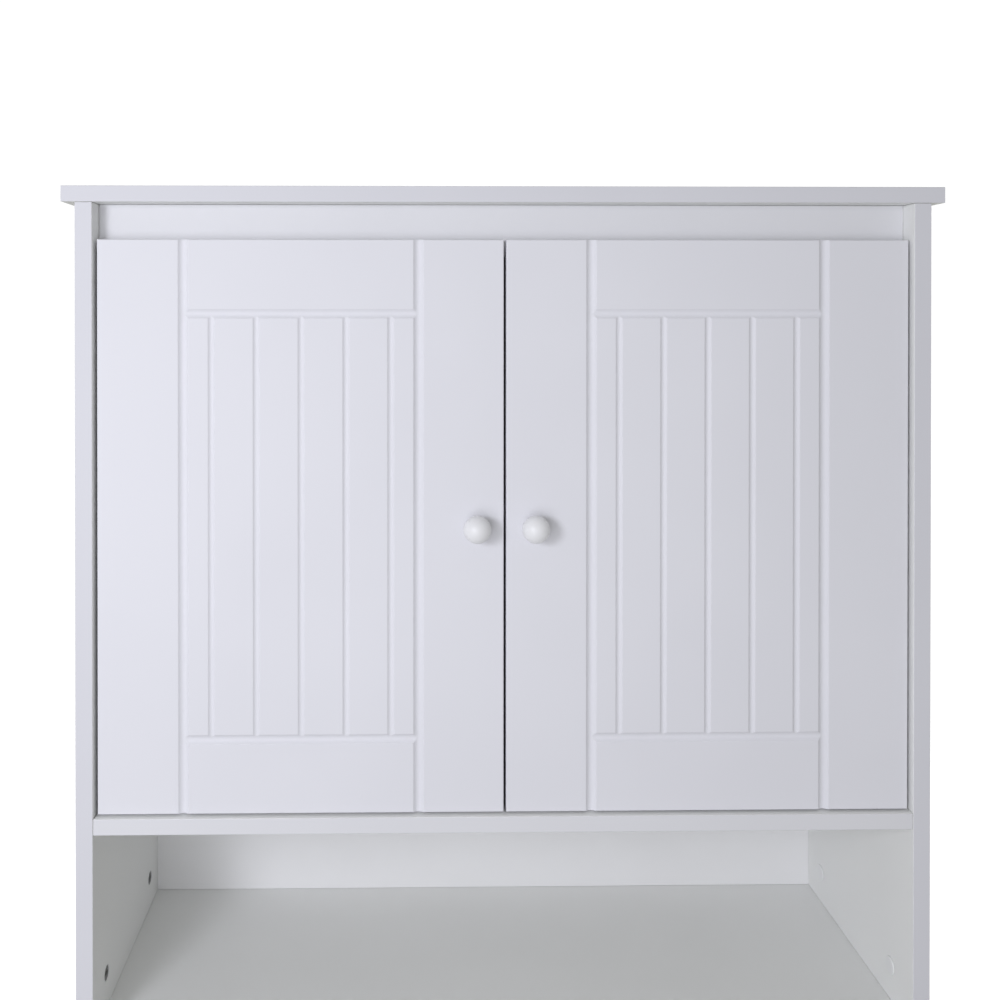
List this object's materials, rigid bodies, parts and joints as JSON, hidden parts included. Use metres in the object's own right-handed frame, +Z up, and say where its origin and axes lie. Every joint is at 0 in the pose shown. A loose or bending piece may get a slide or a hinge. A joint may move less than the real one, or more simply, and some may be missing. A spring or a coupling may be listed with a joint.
{
  "type": "apothecary cabinet",
  "caption": "White two-door cabinet with routed beadboard doors on concealed hinges above an open niche, with a shelf behind the doors",
  "frame": {"origin": "Centre of the underside of the bottom board, on the surface the cabinet stands on", "axes": "+X to the right seen from the front, along the width; +Y from the doors to the back; +Z up"},
  "size_m": [0.826, 0.2875, 0.809],
  "materials": {
    "white_board": "satin white foil on board",
    "door_foil": "satin white foil over routed board",
    "back_board": "matt white painted hardboard",
    "knob_lacquer": "gloss white lacquer",
    "nickel": "nickel plated steel",
    "zinc": "die-cast zinc",
    "white_plastic": "moulded white plastic",
    "clear_rubber": "soft clear bumper"
  },
  "bodies": {
    "carcass": {"adjustable_shelf": "white_board", "back_panel": "back_board", "bottom_board": "white_board", "fixed_shelf": "white_board", "front_cam_cap": "white_plastic", "left_bottom_front_cam": "zinc", "left_bottom_rear_cam": "zinc", "left_front_shelf_pin": "nickel", "left_inner_bumper": "clear_rubber", "left_lower_hinge_arm": "nickel", "left_lower_hinge_plate": "nickel", "left_outer_bumper": "clear_rubber", "left_rear_shelf_pin": "nickel", "left_shelf_front_cam": "zinc", "left_shelf_rear_cam": "zinc", "left_side_panel": "white_board", "left_top_front_cam": "zinc", "left_top_rear_cam": "zinc", "left_upper_hinge_arm": "nickel", "left_upper_hinge_plate": "nickel", "rear_cam_cap": "white_plastic", "rear_rail": "white_board", "right_bottom_front_cam": "zinc", "right_bottom_rear_cam": "zinc", "right_front_shelf_pin": "nickel", "right_inner_bumper": "clear_rubber", "right_lower_hinge_arm": "nickel", "right_lower_hinge_plate": "nickel", "right_outer_bumper": "clear_rubber", "right_rear_shelf_pin": "nickel", "right_shelf_front_cam": "zinc", "right_shelf_rear_cam": "zinc", "right_side_panel": "white_board", "right_top_front_cam": "zinc", "right_top_rear_cam": "zinc", "right_upper_hinge_arm": "nickel", "right_upper_hinge_plate": "nickel", "top_board": "white_board", "top_rail": "white_board"},
    "left_door": {"left_door": "door_foil", "left_knob": "knob_lacquer", "left_knob_screw": "nickel", "left_lower_hinge_cup": "nickel", "left_upper_hinge_cup": "nickel"},
    "right_door": {"right_door": "door_foil", "right_knob": "knob_lacquer", "right_knob_screw": "nickel", "right_lower_hinge_cup": "nickel", "right_upper_hinge_cup": "nickel"},
    "left_links": {"left_lower_hinge_link": "nickel", "left_upper_hinge_link": "nickel"},
    "right_links": {"right_lower_hinge_link": "nickel", "right_upper_hinge_link": "nickel"}
  },
  "joints": [
    {"name": "left_door_swing", "type": "hinge", "parent": "carcass", "child": "left_door", "pos_m": [-0.376, -0.121, 0.49], "axis": [0, 0, -1], "range_deg": [0, 95]},
    {"name": "right_door_swing", "type": "hinge", "parent": "carcass", "child": "right_door", "pos_m": [0.376, -0.121, 0.49], "axis": [0, 0, 1], "range_deg": [0, 95]},
    {"name": "left_link_swing", "type": "hinge", "parent": "carcass", "child": "left_links", "pos_m": [-0.365, -0.108, 0.49], "axis": [0, 0, -1], "range_deg": [0, 71.25]},
    {"name": "right_link_swing", "type": "hinge", "parent": "carcass", "child": "right_links", "pos_m": [0.365, -0.108, 0.49], "axis": [0, 0, 1], "range_deg": [0, 71.25]}
  ],
  "couplings": [
    {"joint": "left_link_swing", "follows": "left_door_swing", "ratio": 0.75},
    {"joint": "right_link_swing", "follows": "right_door_swing", "ratio": 0.75}
  ]
}
